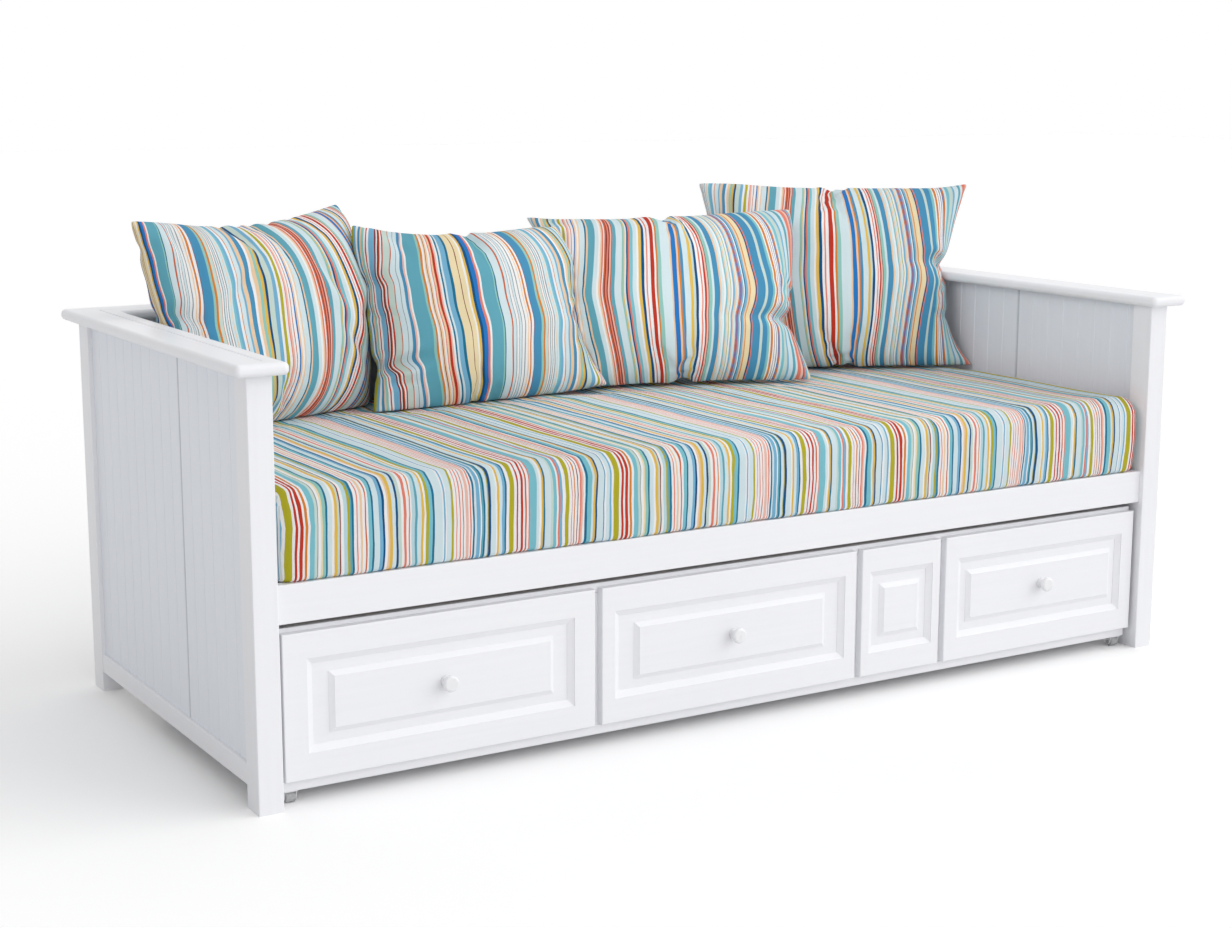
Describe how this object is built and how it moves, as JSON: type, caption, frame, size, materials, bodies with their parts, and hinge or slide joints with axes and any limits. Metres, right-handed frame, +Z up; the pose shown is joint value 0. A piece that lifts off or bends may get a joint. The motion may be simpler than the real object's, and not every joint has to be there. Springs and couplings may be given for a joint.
{
  "type": "storage daybed",
  "caption": "Daybed with beadboard ends and back under flat cap rails, striped mattress and pillows, and a roll-out chest of raised-panel drawers below.",
  "frame": {"origin": "on the floor under the middle of the whole bed", "axes": "+X along the bed from its left end to its right as seen from the open front, +Y from the open front to the back, +Z up"},
  "size_m": [2.156, 0.9782, 0.9937],
  "materials": {
    "painted_wood": "white satin paint",
    "plain_wood": "clear lacquered softwood",
    "steel": "zinc plated",
    "caster_metal": "white powder coat",
    "wheel_nylon": "light grey nylon",
    "mattress_cover": "woven cotton with many coloured stripes",
    "pillow_cover": "woven cotton with many coloured stripes"
  },
  "bodies": {
    "bed_frame": {"post_front_left": "painted_wood", "post_front_right": "painted_wood", "post_rear_left": "painted_wood", "post_rear_right": "painted_wood", "end_panel_left": "painted_wood", "end_panel_right": "painted_wood", "end_rail_left": "painted_wood", "end_rail_right": "painted_wood", "back_panel": "painted_wood", "back_rail": "painted_wood", "front_rail": "painted_wood", "cap_left": "painted_wood", "cap_right": "painted_wood", "cap_back": "painted_wood", "slats": "plain_wood", "slat_ledger_front": "plain_wood", "slat_ledger_back": "plain_wood", "rail_angles": "steel", "angle_screws": "steel", "mattress": "mattress_cover", "pillow_left": "pillow_cover", "pillow_middle_left": "pillow_cover", "pillow_middle_right": "pillow_cover", "pillow_right": "pillow_cover"},
    "drawer_chest": {"chest_floor": "painted_wood", "chest_side_left": "painted_wood", "chest_side_right": "painted_wood", "chest_back": "painted_wood", "chest_rail": "painted_wood", "chest_divider_left": "painted_wood", "chest_divider_middle": "painted_wood", "chest_divider_right": "painted_wood", "filler_front": "painted_wood", "drawer_runners": "plain_wood", "caster_brackets": "caster_metal", "caster_axles": "steel", "caster_screws": "steel"},
    "drawer_left": {"drawer_left_front": "painted_wood", "drawer_left_side_left": "plain_wood", "drawer_left_side_right": "plain_wood", "drawer_left_back": "plain_wood", "drawer_left_floor": "plain_wood", "knob_left": "painted_wood"},
    "drawer_middle": {"drawer_middle_front": "painted_wood", "drawer_middle_side_left": "plain_wood", "drawer_middle_side_right": "plain_wood", "drawer_middle_back": "plain_wood", "drawer_middle_floor": "plain_wood", "knob_middle": "painted_wood"},
    "drawer_right": {"drawer_right_front": "painted_wood", "drawer_right_side_left": "plain_wood", "drawer_right_side_right": "plain_wood", "drawer_right_back": "plain_wood", "drawer_right_floor": "plain_wood", "knob_right": "painted_wood"},
    "wheel_front_left_body": {"wheel_front_left": "wheel_nylon"},
    "wheel_front_right_body": {"wheel_front_right": "wheel_nylon"},
    "wheel_rear_left_body": {"wheel_rear_left": "wheel_nylon"},
    "wheel_rear_right_body": {"wheel_rear_right": "wheel_nylon"}
  },
  "joints": [
    {"name": "chest_roll", "type": "slide", "parent": "bed_frame", "child": "drawer_chest", "axis": [0, -1, 0], "range_m": [0, 0.7]},
    {"name": "drawer_left_slide", "type": "slide", "parent": "drawer_chest", "child": "drawer_left", "axis": [0, -1, 0], "range_m": [0, 0.4]},
    {"name": "drawer_middle_slide", "type": "slide", "parent": "drawer_chest", "child": "drawer_middle", "axis": [0, -1, 0], "range_m": [0, 0.4]},
    {"name": "drawer_right_slide", "type": "slide", "parent": "drawer_chest", "child": "drawer_right", "axis": [0, -1, 0], "range_m": [0, 0.4]},
    {"name": "wheel_front_left_spin", "type": "hinge", "parent": "drawer_chest", "child": "wheel_front_left_body", "pos_m": [-0.977, -0.4077, 0.01], "axis": [1, 0, 0], "range_deg": [0, 4100]},
    {"name": "wheel_front_right_spin", "type": "hinge", "parent": "drawer_chest", "child": "wheel_front_right_body", "pos_m": [0.977, -0.4077, 0.01], "axis": [1, 0, 0], "range_deg": [0, 4100]},
    {"name": "wheel_rear_left_spin", "type": "hinge", "parent": "drawer_chest", "child": "wheel_rear_left_body", "pos_m": [-0.977, 0.1178, 0.01], "axis": [1, 0, 0], "range_deg": [0, 4100]},
    {"name": "wheel_rear_right_spin", "type": "hinge", "parent": "drawer_chest", "child": "wheel_rear_right_body", "pos_m": [0.977, 0.1178, 0.01], "axis": [1, 0, 0], "range_deg": [0, 4100]}
  ],
  "couplings": [
    {"joint": "wheel_front_left_spin", "follows": "chest_roll", "rad_per_m": 100},
    {"joint": "wheel_front_right_spin", "follows": "chest_roll", "rad_per_m": 100},
    {"joint": "wheel_rear_left_spin", "follows": "chest_roll", "rad_per_m": 100},
    {"joint": "wheel_rear_right_spin", "follows": "chest_roll", "rad_per_m": 100}
  ]
}
